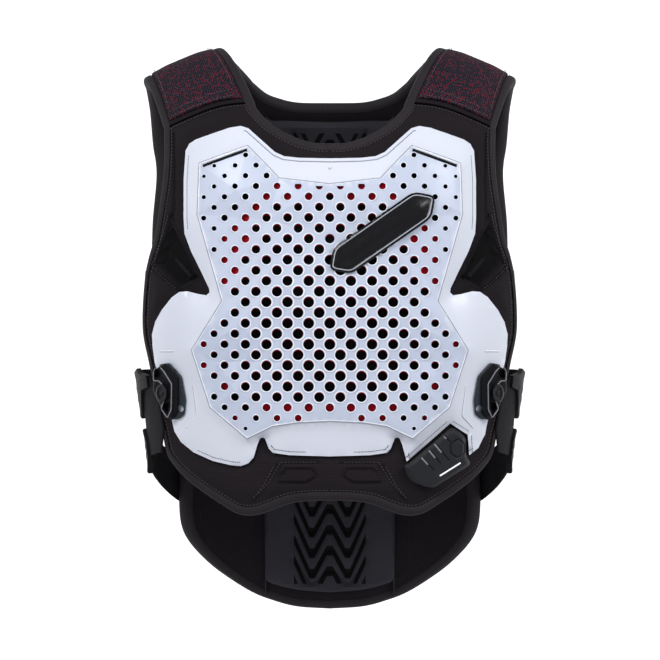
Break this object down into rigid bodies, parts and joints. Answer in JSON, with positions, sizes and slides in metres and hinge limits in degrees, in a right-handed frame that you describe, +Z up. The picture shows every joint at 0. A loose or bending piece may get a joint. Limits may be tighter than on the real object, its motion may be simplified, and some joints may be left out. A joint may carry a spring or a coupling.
{
  "type": "motocross airbag vest",
  "caption": "Padded motocross airbag vest with a perforated chest plate, mesh shoulder straps, side buckles and a rounded back tail.",
  "frame": {"origin": "on the midline between front and back, at the height at which the wearer's shoulders carry the vest", "axes": "+Z up as worn, -Y to the front, +X to the wearer's left"},
  "size_m": [0.3862, 0.2678, 0.5608],
  "materials": {
    "padded_textile": "matt padded textile",
    "binding": "woven tape",
    "spine_foam": "grooved foam",
    "shoulder_knit": "open knit with red dots",
    "webbing": "woven elastic",
    "plate_white": "smooth moulded, cool white",
    "liner_red": "matt moulded",
    "badge_black": "gloss moulded",
    "unit_grey": "fine matt",
    "dark_plastic": "fine matt",
    "buckle_grey": "satin moulded",
    "light_white": "diffusing cover"
  },
  "bodies": {
    "root": {"front_pad": "padded_textile", "back_pad": "padded_textile", "shoulder_pad_left": "padded_textile", "shoulder_pad_right": "padded_textile", "shoulder_mesh_left": "shoulder_knit", "shoulder_mesh_right": "shoulder_knit", "spine_pad": "spine_foam", "neck_binding": "binding", "arm_binding_left": "binding", "arm_binding_right": "binding", "front_hem": "binding", "back_hem": "binding", "front_plate": "plate_white", "plate_liner": "liner_red", "chest_badge": "badge_black", "control_unit": "unit_grey", "control_button": "dark_plastic", "light_bar": "light_white", "buckle_anchor_left": "dark_plastic", "buckle_anchor_right": "dark_plastic", "buckle_frame_left": "buckle_grey", "buckle_frame_right": "buckle_grey", "buckle_dial_left": "dark_plastic", "buckle_dial_right": "dark_plastic", "side_strap_left": "webbing", "side_strap_right": "webbing", "lower_web_left": "webbing", "lower_web_right": "webbing", "kidney_strap_left": "webbing", "kidney_strap_right": "webbing", "strap_tab_left": "dark_plastic", "strap_tab_right": "dark_plastic", "upper_clip_left": "dark_plastic", "upper_clip_right": "dark_plastic", "lower_clip_left": "dark_plastic", "lower_clip_right": "dark_plastic"}
  },
  "joints": []
}
